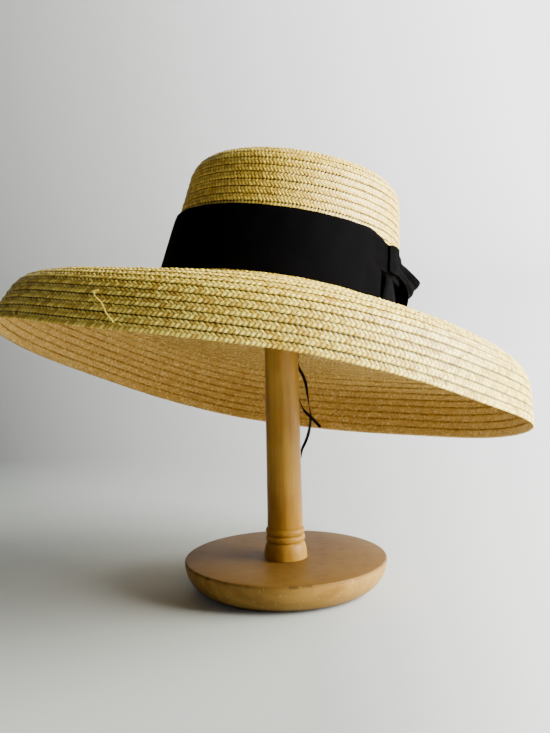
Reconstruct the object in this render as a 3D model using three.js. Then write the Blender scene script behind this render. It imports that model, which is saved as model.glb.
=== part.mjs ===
// Straw sun hat on a turned wooden stand: a flat-topped boater crown and a wide drooping brim of sewn
// plait, a black band with a folded bow, and the two loose ends of its draw ribbon.
// Millimetres, +Z up, with the origin at the centre of the stand's underside. The wearer's front
// faces -Y and the wearer's left is +X. "Turn" is the way the hat's oval faces: 0 is +X, 90 is +Y.
import * as THREE from "three";

// Stand
const baseRadius = 75;
const baseFootRadius = 53;
const baseThickness = 24;
const baseEdgeRound = 1.5;
const bellRadius = 15.9;
const bellHeight = 12.4;
const neckRadius = 12.6;
const ringRadius = 14.5;
const ringHeight = 5.4;
const ringCount = 2;
const postRadiusLow = 13.1;
const postRadiusHigh = 11.4;
const headRadius = 45;
const headSkirt = 14;
const headEdgeRound = 4;

// Crown, measured on the outside of the straw at its base
const crownHalfWidth = 86.7;
const crownHalfLength = 98.7;
const crownHeight = 93.5;
const crownTaper = 12.2;
const crownRoll = 18.4;
const crownRowPitch = 5.5;
const strawWall = 2.2;
const plaitStep = 0.7;

// Brim, measured along its upper surface from the crown to the rim
const brimLength = 140;
const brimRowPitch = 5.6;

// Slope below the crown's base plane along the brim: share is of brimLength, slope in degrees
const brimProfile = [
  { share: 0.0, slope: 33 },
  { share: 0.3, slope: 10 },
  { share: 0.55, slope: 4 },
  { share: 0.7, slope: 39 },
  { share: 0.83, slope: 82 },
  { share: 1.0, slope: 89 },
];

// Degrees added to that slope in eight directions, next to the crown and at the rim
const brimDroop = [
  { turn: 0, atCrown: 10, atRim: -12 },
  { turn: 45, atCrown: 3, atRim: -5 },
  { turn: 90, atCrown: -9, atRim: 21 },
  { turn: 135, atCrown: -6, atRim: -1 },
  { turn: 180, atCrown: 5, atRim: -23 },
  { turn: 225, atCrown: 3, atRim: -4 },
  { turn: 270, atCrown: -6, atRim: 14 },
  { turn: 315, atCrown: 0, atRim: 9 },
];

// Where the crown's base plane sits over the stand, and how the hat leans on it
const hatShiftX = -0.7;
const hatShiftY = 4.5;
const hatRise = 215.8;
const hatTiltBack = 18.3;
const hatTiltLeft = 10.4;

// Band and bow
const bandHeight = 46.3;
const bandThickness = 1.2;
const bandBelly = 0.4;
const plyThickness = 1.2;
const knotThickness = 2.6;
const bowStandOff = 14.5;

// Plies of the bow. Turn is in degrees; rise is a share of bandHeight and out a share of bowStandOff,
// each given for the upper and the lower edge.
const bowLoopFolds = [
  { turn: -25, riseUpper: 0.91, outUpper: 0.0, riseLower: 0.43, outLower: 0.0 },
  { turn: -20, riseUpper: 0.9, outUpper: 0.04, riseLower: 0.39, outLower: 0.16 },
  { turn: -15, riseUpper: 0.79, outUpper: 0.14, riseLower: 0.35, outLower: 0.22 },
  { turn: -10, riseUpper: 0.71, outUpper: 0.36, riseLower: 0.3, outLower: 0.27 },
  { turn: -6, riseUpper: 0.55, outUpper: 0.86, riseLower: 0.26, outLower: 0.36 },
  { turn: 1, riseUpper: 0.58, outUpper: 0.74, riseLower: 0.25, outLower: 0.36 },
  { turn: 8, riseUpper: 0.63, outUpper: 0.44, riseLower: 0.27, outLower: 0.24 },
  { turn: 14, riseUpper: 0.68, outUpper: 0.04, riseLower: 0.32, outLower: 0.04 },
];
const bowTailFolds = [
  { turn: -19, riseUpper: 0.35, outUpper: 0.0, riseLower: 0.13, outLower: 0.0 },
  { turn: -13, riseUpper: 0.26, outUpper: 0.08, riseLower: 0.11, outLower: 0.11 },
  { turn: -7, riseUpper: 0.19, outUpper: 0.2, riseLower: 0.1, outLower: 0.22 },
];
const bowFlapFolds = [
  { turn: -52, riseUpper: 0.84, outUpper: 0.0, riseLower: 0.47, outLower: 0.0 },
  { turn: -42, riseUpper: 0.85, outUpper: 0.0, riseLower: 0.46, outLower: 0.0 },
  { turn: -33.5, riseUpper: 0.85, outUpper: 0.05, riseLower: 0.44, outLower: 0.05 },
];
const bowKnotFolds = [
  { turn: -32, riseUpper: 0.93, outUpper: 0.0, riseLower: 0.42, outLower: 0.0 },
  { turn: -29, riseUpper: 0.95, outUpper: 0.03, riseLower: 0.4, outLower: 0.03 },
  { turn: -26.2, riseUpper: 0.93, outUpper: 0.0, riseLower: 0.42, outLower: 0.0 },
];

// Draw ribbon: the two ends hang free behind the post. Their points keep the lengths seen.
const ribbonWidth = 2.4;
const ribbonSides = 8;
const longRibbonRoute = [
  [8.5, 93.7, 188.4],
  [7, 91, 180],
  [9.2, 91.2, 170.5],
  [12.3, 91, 161.5],
  [12.4, 91, 152.5],
  [16.7, 91, 143.5],
  [18.6, 91, 137.5],
  [19.7, 91, 129.5],
  [20.8, 91, 120],
  [22, 91, 110.5],
  [20.9, 91, 102],
  [19.8, 91, 97],
  [17.6, 91, 91],
  [14.8, 91, 85],
  [13.4, 91, 78],
];
const shortRibbonRoute = [
  [0.6, 94.6, 189.5],
  [-0.9, 91.2, 181.3],
  [0.8, 92.6, 170],
  [4, 94.4, 158],
  [7.2, 95, 146],
  [9.8, 95, 136],
  [12.4, 95, 126.5],
  [14.4, 95, 121],
  [16.8, 95, 115.5],
  [19.3, 95, 112.5],
  [22, 95, 110],
  [25.2, 95, 106.5],
  [29.6, 95, 101.5],
];

// Gap between pieces that touch, and how finely round shapes are cut
const seatGap = 0.3;
const hatSegments = 40;
const turnedSegments = 32;
const postSegments = 24;

const strawMaterial = new THREE.MeshStandardMaterial({ color: 0xd8b66c, roughness: 0.55, metalness: 0 });
const brimMaterial = new THREE.MeshStandardMaterial({ color: 0xdcbf7c, roughness: 0.55, metalness: 0 });
const ribbonMaterial = new THREE.MeshStandardMaterial({ color: 0x141416, roughness: 0.85, metalness: 0 });
const postMaterial = new THREE.MeshStandardMaterial({ color: 0xb18a45, roughness: 0.45, metalness: 0 });
const baseMaterial = new THREE.MeshStandardMaterial({ color: 0x8d6c42, roughness: 0.4, metalness: 0 });

function named(name, geometry, material) {
  const mesh = new THREE.Mesh(geometry, material);
  mesh.name = name;
  return mesh;
}

// A shape turned on a lathe, from a profile of [radius, height] that starts and ends on the axis
function turned(profile, segments) {
  const points = profile.map(([radius, height]) => new THREE.Vector2(radius, height));
  return new THREE.LatheGeometry(points, segments).rotateX(Math.PI / 2);
}

// Smooth value between the rows of a table, without overshoot. Both keys are column names.
function between(rows, positionKey, valueKey, position) {
  const last = rows.length - 1;
  const rise = (i) => {
    return (rows[i + 1][valueKey] - rows[i][valueKey]) / (rows[i + 1][positionKey] - rows[i][positionKey]);
  };
  const tangent = (i) => {
    if (i === 0) return rise(0);
    if (i === last) return rise(last - 1);
    const before = rise(i - 1);
    const after = rise(i);
    return before * after <= 0 ? 0 : (2 * before * after) / (before + after);
  };
  let i = 0;
  while (i < last - 1 && position > rows[i + 1][positionKey]) i += 1;
  const step = rows[i + 1][positionKey] - rows[i][positionKey];
  const u = (position - rows[i][positionKey]) / step;
  const start = (1 + 2 * u) * (1 - u) ** 2 * rows[i][valueKey] + u * (1 - u) ** 2 * step * tangent(i);
  const end = u * u * (3 - 2 * u) * rows[i + 1][valueKey] - u * u * (1 - u) * step * tangent(i + 1);
  return start + end;
}

// The same for a table of directions, which closes on itself
function aroundHat(rows, valueKey, turn) {
  const first = { ...rows[0], turn: rows[0].turn + 360 };
  const second = { ...rows[1], turn: rows[1].turn + 360 };
  const beforeFirst = { ...rows[rows.length - 1], turn: rows[rows.length - 1].turn - 360 };
  return between([beforeFirst, ...rows, first, second], "turn", valueKey, ((turn % 360) + 360) % 360);
}

// A point of the hat: reach is the half width of the oval there. Inside the crown's base the oval
// shrinks in proportion, and outside it grows by the same distance all round.
function hatPoint(turn, reach, height) {
  const angle = THREE.MathUtils.degToRad(turn);
  const across = crownHalfWidth * Math.cos(angle);
  const along = crownHalfLength * Math.sin(angle);
  const size = Math.hypot(across, along);
  const inside = Math.min(reach / crownHalfWidth, 1);
  const outside = Math.max(reach - crownHalfWidth, 0);
  return new THREE.Vector3(
    ((crownHalfWidth * across) / size) * inside + outside * Math.cos(angle),
    ((crownHalfLength * along) / size) * inside + outside * Math.sin(angle),
    height,
  );
}

// A closed skin over rings of points. A ring is one point where the skin closes on the hat's axis;
// otherwise the last ring joins the first. Rings run outwards over the top and back underneath.
function skin(rings) {
  const positions = [];
  const faces = [];
  const starts = rings.map((ring) => {
    const start = positions.length / 3;
    ring.forEach((point) => positions.push(point.x, point.y, point.z));
    return start;
  });
  const capped = rings[0].length === 1;
  const strips = capped ? rings.length - 1 : rings.length;
  for (let i = 0; i < strips; i += 1) {
    const next = (i + 1) % rings.length;
    const count = Math.max(rings[i].length, rings[next].length);
    for (let j = 0; j < count; j += 1) {
      const k = (j + 1) % count;
      const a = starts[i] + (rings[i].length === 1 ? 0 : j);
      const d = starts[i] + (rings[i].length === 1 ? 0 : k);
      const b = starts[next] + (rings[next].length === 1 ? 0 : j);
      const c = starts[next] + (rings[next].length === 1 ? 0 : k);
      if (rings[next].length > 1) faces.push(a, b, c);
      if (rings[i].length > 1) faces.push(a, c, d);
    }
  }
  const geometry = new THREE.BufferGeometry();
  geometry.setAttribute("position", new THREE.Float32BufferAttribute(positions, 3));
  geometry.setIndex(faces);
  geometry.computeVertexNormals();
  return geometry;
}

function ringOf(pointAt) {
  return Array.from({ length: hatSegments }, (_, j) => pointAt((360 * j) / hatSegments));
}

// The crown's outline: a leaning wall, a rolled edge and a flat top. "Along" runs up the outside from
// the base and "out" is the distance from that surface.
const wallLean = Math.atan2(crownTaper, crownHeight);
const rollTurn = Math.PI / 2 - wallLean;
const rollRun = crownRoll * Math.tan(rollTurn / 2);
const wallRun = Math.hypot(crownTaper, crownHeight) - rollRun;
const rollLength = crownRoll * rollTurn;
const rollCentre = crownHalfWidth - crownTaper - rollRun;

function crownOutline(along, out) {
  if (along <= wallRun) {
    return {
      reach: crownHalfWidth - along * Math.sin(wallLean) + out * Math.cos(wallLean),
      height: along * Math.cos(wallLean) + out * Math.sin(wallLean),
    };
  }
  const angle = Math.min(wallLean + (along - wallRun) / crownRoll, Math.PI / 2);
  const onTop = Math.max(along - wallRun - rollLength, 0);
  return {
    reach: rollCentre - onTop + (crownRoll + out) * Math.cos(angle),
    height: crownHeight - crownRoll + (crownRoll + out) * Math.sin(angle),
  };
}

function crownPoint(turn, along, out) {
  const { reach, height } = crownOutline(along, out);
  return hatPoint(turn, reach, height);
}

// Crown: the rows of plait step outwards at their lower edges, from the band up to the flat top
function crownGeometry() {
  const firstSeam = bandHeight + 3.8;
  const plaitRows = Math.ceil((wallRun + rollLength - firstSeam) / crownRowPitch);
  const rings = [[hatPoint(0, 0, crownHeight)]];
  for (const share of [0.35, 0.7]) {
    rings.push(ringOf((turn) => hatPoint(turn, rollCentre * share, crownHeight)));
  }
  for (let row = plaitRows; row >= 0; row -= 1) {
    const seam = firstSeam + row * crownRowPitch;
    rings.push(ringOf((turn) => crownPoint(turn, seam + seatGap, plaitStep / 2)));
    rings.push(ringOf((turn) => crownPoint(turn, seam - seatGap, -plaitStep / 2)));
  }
  rings.push(ringOf((turn) => crownPoint(turn, bandHeight, 0)));
  rings.push(ringOf((turn) => crownPoint(turn, 0, 0)));
  const innerReach = crownHalfWidth - strawWall / Math.cos(wallLean);
  rings.push(ringOf((turn) => hatPoint(turn, innerReach, 0)));
  for (const share of [0.35, 0.7, 1]) {
    rings.push(ringOf((turn) => crownPoint(turn, wallRun * share, -strawWall)));
  }
  for (const share of [0.34, 0.67, 1]) {
    rings.push(ringOf((turn) => crownPoint(turn, wallRun + rollLength * share, -strawWall)));
  }
  rings.push([hatPoint(0, 0, crownHeight - strawWall)]);
  return skin(rings);
}

// Brim in one direction: its upper surface as reach and height, and the slope there
function brimWalk(turn) {
  const stepCount = 280;
  const step = brimLength / stepCount;
  const atCrown = aroundHat(brimDroop, "atCrown", turn);
  const atRim = aroundHat(brimDroop, "atRim", turn);
  const slopeAt = (share) => {
    const droop = atCrown * (1 - share) + atRim * share;
    return THREE.MathUtils.degToRad(between(brimProfile, "share", "slope", share) + droop);
  };
  const walk = [{ reach: crownHalfWidth, height: -seatGap, slope: slopeAt(0) }];
  for (let i = 1; i <= stepCount; i += 1) {
    const slope = slopeAt(i / stepCount);
    const middle = (walk[i - 1].slope + slope) / 2;
    walk.push({
      reach: walk[i - 1].reach + step * Math.cos(middle),
      height: walk[i - 1].height - step * Math.sin(middle),
      slope,
    });
  }
  return (along, out) => {
    const { reach, height, slope } = walk[Math.round((along / brimLength) * stepCount)];
    return hatPoint(turn, reach + out * Math.sin(slope), height + out * Math.cos(slope));
  };
}

// Brim: each row of plait lies over the next one out, so the upper side steps down at every seam
function brimGeometry() {
  const plaitRows = Math.round(brimLength / brimRowPitch);
  const pitch = brimLength / plaitRows;
  const seamHalf = 0.5;
  const innerReach = crownHalfWidth - strawWall;
  const walks = Array.from({ length: hatSegments }, (_, j) => brimWalk((360 * j) / hatSegments));
  const ringAt = (along, out) => walks.map((walk) => walk(along, out));
  const rings = [ringOf((turn) => hatPoint(turn, innerReach, -seatGap)), ringAt(0, 0)];
  for (let row = 1; row < plaitRows; row += 1) {
    rings.push(ringAt(row * pitch - seamHalf, plaitStep / 2));
    rings.push(ringAt(row * pitch + seamHalf, -plaitStep / 2));
  }
  rings.push(ringAt(brimLength, plaitStep / 2));
  for (const share of [1, 0.94, 0.87, 0.8, 0.73, 0.66, 0.59, 0.5, 0.38, 0.25, 0.12, 0]) {
    rings.push(ringAt(brimLength * share, -strawWall));
  }
  rings.push(ringOf((turn) => hatPoint(turn, innerReach, -seatGap - strawWall)));
  return skin(rings);
}

// Band: a soft ribbon round the foot of the crown, standing on the brim
function bandGeometry() {
  const foot = seatGap;
  const middle = bandHeight * 0.55;
  const outside = seatGap + bandThickness;
  return skin([
    ringOf((turn) => crownPoint(turn, bandHeight, seatGap)),
    ringOf((turn) => crownPoint(turn, bandHeight, outside)),
    ringOf((turn) => crownPoint(turn, middle, outside + bandBelly)),
    ringOf((turn) => crownPoint(turn, foot, outside)),
    ringOf((turn) => crownPoint(turn, foot, seatGap)),
  ]);
}

// A ply of ribbon standing on the band, through the folds of a table, as a closed bent plate
function plyGeometry(folds, thickness) {
  const across = 4;
  const steps = 3 * (folds.length - 1);
  const clear = seatGap + bandThickness + bandBelly + seatGap + thickness / 2;
  const edge = (riseKey, outKey) => {
    const points = folds.map((fold) => {
      return crownPoint(fold.turn, fold[riseKey] * bandHeight, clear + fold[outKey] * bowStandOff);
    });
    return new THREE.CatmullRomCurve3(points, false, "centripetal");
  };
  const upper = edge("riseUpper", "outUpper");
  const lower = edge("riseLower", "outLower");
  const at = (i, j) => {
    const u = i / steps;
    return upper.getPoint(u).lerp(lower.getPoint(u), j / across);
  };
  const faceAt = (i, j, side) => {
    const ahead = at(Math.min(i + 1, steps), j).sub(at(Math.max(i - 1, 0), j));
    const down = at(i, Math.min(j + 1, across)).sub(at(i, Math.max(j - 1, 0)));
    const normal = down.cross(ahead).normalize();
    return at(i, j).addScaledVector(normal, (side * thickness) / 2);
  };
  const rings = [];
  for (let i = 0; i <= steps; i += 1) {
    const ring = [];
    for (let j = 0; j <= across; j += 1) ring.push(faceAt(i, j, 1));
    for (let j = across; j >= 0; j -= 1) ring.push(faceAt(i, j, -1));
    rings.push(ring);
  }
  return plateSkin(rings);
}

// Closed skin over sections of one size, with flat ends
function plateSkin(rings) {
  const size = rings[0].length;
  const positions = rings.flat().flatMap((point) => [point.x, point.y, point.z]);
  const faces = [];
  for (let i = 0; i + 1 < rings.length; i += 1) {
    for (let j = 0; j < size; j += 1) {
      const k = (j + 1) % size;
      faces.push(i * size + j, i * size + k, (i + 1) * size + k);
      faces.push(i * size + j, (i + 1) * size + k, (i + 1) * size + j);
    }
  }
  const lastRing = (rings.length - 1) * size;
  for (let j = 0; j + 1 < size / 2; j += 1) {
    const k = size - 1 - j;
    faces.push(j, k, k - 1, j, k - 1, j + 1);
    faces.push(lastRing + j, lastRing + k - 1, lastRing + k, lastRing + j, lastRing + j + 1, lastRing + k - 1);
  }
  const geometry = new THREE.BufferGeometry();
  geometry.setAttribute("position", new THREE.Float32BufferAttribute(positions, 3));
  geometry.setIndex(faces);
  geometry.computeVertexNormals();
  return geometry;
}

// A free ribbon end, as a plain round cord of the ribbon's width
function ribbonGeometry(route) {
  const path = new THREE.CatmullRomCurve3(route.map((point) => new THREE.Vector3(...point)));
  const section = new THREE.Shape();
  for (let i = 0; i < ribbonSides; i += 1) {
    const angle = (2 * Math.PI * i) / ribbonSides;
    const x = (ribbonWidth / 2) * Math.cos(angle);
    const y = (ribbonWidth / 2) * Math.sin(angle);
    if (i === 0) section.moveTo(x, y);
    else section.lineTo(x, y);
  }
  const steps = Math.round(path.getLength() / (2.4 * ribbonWidth));
  return new THREE.ExtrudeGeometry(section, { steps, bevelEnabled: false, extrudePath: path });
}

// Stand base: a dish-sided disc, flat on top and underneath
function baseGeometry() {
  const sideSteps = 6;
  const sideHeight = baseThickness - baseEdgeRound;
  const profile = [[0, 0]];
  for (let i = 0; i <= sideSteps; i += 1) {
    const angle = (Math.PI / 2) * (i / sideSteps);
    const radius = baseFootRadius + (baseRadius - baseFootRadius) * Math.sin(angle);
    profile.push([radius, sideHeight * (1 - Math.cos(angle))]);
  }
  profile.push([baseRadius - baseEdgeRound * 0.3, baseThickness - baseEdgeRound * 0.3]);
  profile.push([baseRadius - baseEdgeRound, baseThickness], [0, baseThickness]);
  return turned(profile, turnedSegments);
}

// Stand post: a bell foot, a neck, two rings and a slightly tapered shaft up to the head
function postGeometry(top) {
  const foot = baseThickness + seatGap;
  const bellSteps = 5;
  const ringSteps = 4;
  const profile = [[0, foot]];
  for (let i = 0; i <= bellSteps; i += 1) {
    const angle = (Math.PI / 2) * (i / bellSteps);
    const radius = neckRadius + (bellRadius - neckRadius) * Math.cos(angle);
    profile.push([radius, foot + bellHeight * Math.sin(angle)]);
  }
  for (let ring = 0; ring < ringCount; ring += 1) {
    const start = foot + bellHeight + ring * ringHeight;
    for (let i = ring === 0 ? 1 : 0; i <= ringSteps; i += 1) {
      const bulge = Math.sin((Math.PI * i) / ringSteps);
      const radius = neckRadius + (ringRadius - neckRadius) * bulge;
      profile.push([radius, start + (ringHeight * i) / ringSteps]);
    }
    if (ring + 1 < ringCount) profile.pop();
  }
  const shaftFoot = foot + bellHeight + ringCount * ringHeight;
  profile.push([postRadiusLow, shaftFoot + 1], [postRadiusHigh, top], [0, top]);
  return turned(profile, postSegments);
}

// Stand head: a plain wooden dome that the crown's top rests on
function headGeometry(centre) {
  const domeSteps = 8;
  const underside = centre - headSkirt;
  const profile = [
    [0, underside],
    [headRadius - headEdgeRound, underside],
    [headRadius - headEdgeRound * 0.3, underside + headEdgeRound * 0.3],
    [headRadius, underside + headEdgeRound],
  ];
  for (let i = 0; i < domeSteps; i += 1) {
    const angle = (Math.PI / 2) * (i / domeSteps);
    profile.push([headRadius * Math.cos(angle), centre + headRadius * Math.sin(angle)]);
  }
  profile.push([0, centre + headRadius]);
  return turned(profile, turnedSegments);
}

const hat = new THREE.Group();
hat.position.set(hatShiftX, hatShiftY, hatRise);
hat.rotation.order = "YXZ";
hat.rotation.set(-THREE.MathUtils.degToRad(hatTiltBack), THREE.MathUtils.degToRad(hatTiltLeft), 0);
hat.add(named("crown", crownGeometry(), strawMaterial));
hat.add(named("brim", brimGeometry(), brimMaterial));
hat.add(named("hat_band", bandGeometry(), ribbonMaterial));
hat.add(named("bow_flap", plyGeometry(bowFlapFolds, plyThickness), ribbonMaterial));
hat.add(named("bow_knot", plyGeometry(bowKnotFolds, knotThickness), ribbonMaterial));
hat.add(named("bow_loop", plyGeometry(bowLoopFolds, plyThickness), ribbonMaterial));
hat.add(named("bow_tail", plyGeometry(bowTailFolds, plyThickness), ribbonMaterial));

// The head's dome touches the inside of the crown's top, which leans with the hat
const lean = new THREE.Vector3(0, 0, 1).applyEuler(hat.rotation);
const topInside = lean.clone().multiplyScalar(crownHeight - strawWall).add(hat.position);
const headCentre = (topInside.dot(lean) - headRadius - seatGap) / lean.z;
const postTop = headCentre - headSkirt - seatGap;

const group = new THREE.Group();
group.add(named("stand_base", baseGeometry(), baseMaterial));
group.add(named("stand_post", postGeometry(postTop), postMaterial));
group.add(named("stand_head", headGeometry(headCentre), postMaterial));
group.add(hat);
group.add(named("ribbon_end_long", ribbonGeometry(longRibbonRoute), ribbonMaterial));
group.add(named("ribbon_end_short", ribbonGeometry(shortRibbonRoute), ribbonMaterial));

export default group;
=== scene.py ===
import math

import bmesh
import bpy
import numpy as np
from mathutils import Matrix, Vector


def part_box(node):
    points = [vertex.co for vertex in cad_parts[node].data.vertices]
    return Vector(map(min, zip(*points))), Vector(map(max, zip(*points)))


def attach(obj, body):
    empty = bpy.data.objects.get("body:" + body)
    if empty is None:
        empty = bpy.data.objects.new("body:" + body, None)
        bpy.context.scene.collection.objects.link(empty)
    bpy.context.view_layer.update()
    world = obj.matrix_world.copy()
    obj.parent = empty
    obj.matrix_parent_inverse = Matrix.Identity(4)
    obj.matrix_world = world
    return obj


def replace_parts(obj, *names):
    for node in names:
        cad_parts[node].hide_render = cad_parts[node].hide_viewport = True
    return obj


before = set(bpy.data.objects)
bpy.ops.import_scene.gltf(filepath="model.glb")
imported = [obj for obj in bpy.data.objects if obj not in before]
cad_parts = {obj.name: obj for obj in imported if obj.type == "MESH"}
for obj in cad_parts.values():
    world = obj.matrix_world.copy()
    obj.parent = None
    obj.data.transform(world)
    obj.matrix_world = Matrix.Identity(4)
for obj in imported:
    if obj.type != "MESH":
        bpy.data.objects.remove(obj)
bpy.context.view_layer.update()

# Camera
# It looks slightly down on the brim from the front, at the photograph's viewing angle. The lens is set
# from the photograph's frame of 550 by 733 pixels.
camera_place = (0.0, -1.24268, 0.38459)
camera_pitch_down = math.radians(9.91)
camera_yaw = math.radians(0.22)
camera_roll = math.radians(-1.35)
camera_data = bpy.data.cameras.new("camera")
camera_data.lens = 85.05
camera_data.sensor_width = 36.0
camera_data.clip_start = 0.05
camera_data.clip_end = 20.0
camera = bpy.data.objects.new("camera", camera_data)
camera.matrix_world = (
    Matrix.Translation(camera_place)
    @ Matrix.Rotation(camera_yaw, 4, "Z")
    @ Matrix.Rotation(math.pi / 2 - camera_pitch_down, 4, "X")
    @ Matrix.Rotation(camera_roll, 4, "Z")
)
bpy.context.collection.objects.link(camera)
bpy.context.scene.camera = camera

# Loose ends of the draw ribbon
# Two ends of a narrow black ribbon come out under the crown behind the post and hang free. The ribbon
# is woven flat, and each end turns over on itself a few times on its way down.
ribbon_width = 0.0024
ribbon_thickness = 0.0005
ribbon_black = (0.0045, 0.002, 0.002)
long_end_route = (
    (8.5, 93.7, 188.4), (7, 91, 180), (9.2, 91.2, 170.5), (12.3, 91, 161.5), (12.4, 91, 152.5),
    (16.7, 91, 143.5), (18.6, 91, 137.5), (19.7, 91, 129.5), (20.8, 91, 120), (22, 91, 110.5),
    (20.9, 91, 102), (19.8, 91, 97), (17.6, 91, 91), (14.8, 91, 85), (13.4, 91, 78),
)
short_end_route = (
    (0.6, 94.6, 189.5), (-0.9, 91.2, 181.3), (0.8, 92.6, 170), (4, 94.4, 158), (7.2, 95, 146),
    (9.8, 95, 136), (12.4, 95, 126.5), (14.4, 95, 121), (16.8, 95, 115.5), (19.3, 95, 112.5),
    (22, 95, 110), (25.2, 95, 106.5), (29.6, 95, 101.5),
)


def smooth_line(points, steps_each):
    """A curve through the points, with that many steps between each two."""
    points = np.array(points, float)
    before = 2 * points[0] - points[1]
    after = 2 * points[-1] - points[-2]
    ends = np.concatenate([[before], points, [after]])
    line = []
    for a, b, c, d in zip(ends, ends[1:], ends[2:], ends[3:]):
        spans = [math.sqrt(max(np.linalg.norm(q - p), 1e-9)) for p, q in ((a, b), (b, c), (c, d))]
        start = ((b - a) / spans[0] - (c - a) / (spans[0] + spans[1]) + (c - b) / spans[1]) * spans[1]
        end = ((c - b) / spans[1] - (d - b) / (spans[1] + spans[2]) + (d - c) / spans[2]) * spans[1]
        for u in np.arange(steps_each) / steps_each:
            line.append(
                (2 * u**3 - 3 * u**2 + 1) * b
                + (u**3 - 2 * u**2 + u) * start
                + (3 * u**2 - 2 * u**3) * c
                + (u**3 - u**2) * end
            )
    return np.array(line + [points[-1]])


def link_piece(name, mesh, material, smooth_angle=None):
    """An object of the mesh, shaded smooth up to the angle, with the material, that rides on the root body."""
    piece = bpy.data.objects.new(name, mesh)
    bpy.context.collection.objects.link(piece)
    mesh.shade_smooth()
    if smooth_angle is not None:
        mesh.set_sharp_from_angle(angle=math.radians(smooth_angle))
    mesh.materials.append(material)
    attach(piece, "root")
    return piece


def new_material(name):
    """A material with its shader, and a function that adds a node and feeds its sockets."""
    material = bpy.data.materials.new(name)
    material.use_nodes = True
    tree = material.node_tree
    shader = next(node for node in tree.nodes if node.type == "BSDF_PRINCIPLED")

    def add(kind, feeds=None, **settings):
        node = tree.nodes.new(kind)
        for key, value in settings.items():
            setattr(node, key, value)
        for socket, value in (feeds or {}).items():
            if isinstance(value, bpy.types.NodeSocket):
                tree.links.new(value, node.inputs[socket])
            else:
                node.inputs[socket].default_value = value
        return node

    def join(output, socket):
        tree.links.new(output, shader.inputs[socket])

    return material, shader, add, join


def ramp_colours(node, stops):
    """Sets a colour ramp's stops, each a position and a colour."""
    elements = node.color_ramp.elements
    while len(elements) < len(stops):
        elements.new(0.5)
    for element, (position, colour) in zip(elements, stops):
        element.position = position
        element.color = (*colour, 1.0)


def narrow_ribbon_material():
    material, shader, add, join = new_material("narrow_black_ribbon")
    shader.inputs["Base Color"].default_value = (*ribbon_black, 1.0)
    shader.inputs["Specular IOR Level"].default_value = 0.06
    place = add("ShaderNodeTexCoord").outputs["Object"]
    ribs = add("ShaderNodeTexWave", {"Vector": place, "Scale": 900.0}, bands_direction="Z")
    wear = add("ShaderNodeTexNoise", {"Vector": place, "Scale": 400.0})
    rough = add("ShaderNodeMapRange", {0: wear.outputs["Fac"], 3: 0.45, 4: 0.7})
    join(rough.outputs[0], "Roughness")
    bump = add("ShaderNodeBump", {"Height": ribs.outputs["Fac"], "Strength": 0.3, "Distance": 0.0002})
    join(bump.outputs["Normal"], "Normal")
    return material


def flat_strip(name, line, size, start_turn, turns):
    """A mesh of a flat strip along the line, turning over on the way. Size is its width and thickness."""
    ahead = np.gradient(line, axis=0)
    bm = bmesh.new()
    section = bmesh.ops.create_circle(bm, segments=4, radius=1.0)["verts"]
    bmesh.ops.rotate(bm, verts=section, matrix=Matrix.Rotation(math.pi / 4, 3, "Z"))
    bmesh.ops.scale(bm, verts=section, vec=(size[0] / 2**0.5, size[1] / 2**0.5, 1.0))
    flat_section = [v.co.copy() for v in section]
    edges = list(bm.edges)
    for i, (point, direction) in enumerate(zip(line, ahead)):
        share = i / (len(line) - 1)
        upright = Vector(direction).to_track_quat("Z", "Y").to_matrix().to_4x4()
        turned = Matrix.Rotation(start_turn + turns * 2 * math.pi * share, 4, "Z")
        place = Matrix.Translation(point) @ upright @ turned
        if i:
            made = bmesh.ops.extrude_edge_only(bm, edges=edges)["geom"]
            section = [g for g in made if isinstance(g, bmesh.types.BMVert)]
            edges = [g for g in made if isinstance(g, bmesh.types.BMEdge)]
        for vertex, corner in zip(section, flat_section):
            vertex.co = place @ corner
    bmesh.ops.holes_fill(bm, edges=[edge for edge in bm.edges if edge.is_boundary])
    bmesh.ops.recalc_face_normals(bm, faces=bm.faces)
    mesh = bpy.data.meshes.new(name)
    bm.to_mesh(mesh)
    bm.free()
    return mesh


def flat_ribbon(name, route, turns, start_turn, material):
    """One loose end of the ribbon, hanging along the route in millimetres."""
    line = smooth_line(np.array(route) / 1000, 6)
    mesh = flat_strip(name, line, (ribbon_width, ribbon_thickness), start_turn, turns)
    piece = link_piece(name, mesh, material, smooth_angle=50)
    return piece


narrow_ribbon = narrow_ribbon_material()
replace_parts(flat_ribbon("ribbon_end_long_flat", long_end_route, 1.1, 2.28, narrow_ribbon), "ribbon_end_long")
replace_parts(flat_ribbon("ribbon_end_short_flat", short_end_route, 0.8, 0.2, narrow_ribbon), "ribbon_end_short")

# Stand
# A dish-sided round base, a post with a bell foot and two rings, and a domed head under the crown,
# each turned from pale hardwood on a lathe. The base's top has darkened, and its edge is worn.
base_radius = 0.075
base_foot_radius = 0.053
base_thickness = 0.024
base_edge_round = 0.0015
bell_radius = 0.0159
bell_height = 0.0124
neck_radius = 0.0126
ring_radius = 0.0145
ring_height = 0.0054
post_radius_low = 0.0131
post_radius_high = 0.0114
head_radius = 0.045
head_skirt = 0.014
head_edge_round = 0.004
seat_gap = 0.0003
post_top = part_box("stand_post")[1][2]
head_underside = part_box("stand_head")[0][2]
post_pale = (0.34, 0.185, 0.022)
post_honey = (0.22, 0.098, 0.008)
base_side_pale = (0.29, 0.165, 0.038)
base_side_honey = (0.20, 0.105, 0.019)
base_top_brown = (0.126, 0.062, 0.008)
base_top_light = (0.162, 0.086, 0.014)
scratch_pale = (0.62, 0.48, 0.22)
edge_dark = (0.06, 0.03, 0.008)


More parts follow.
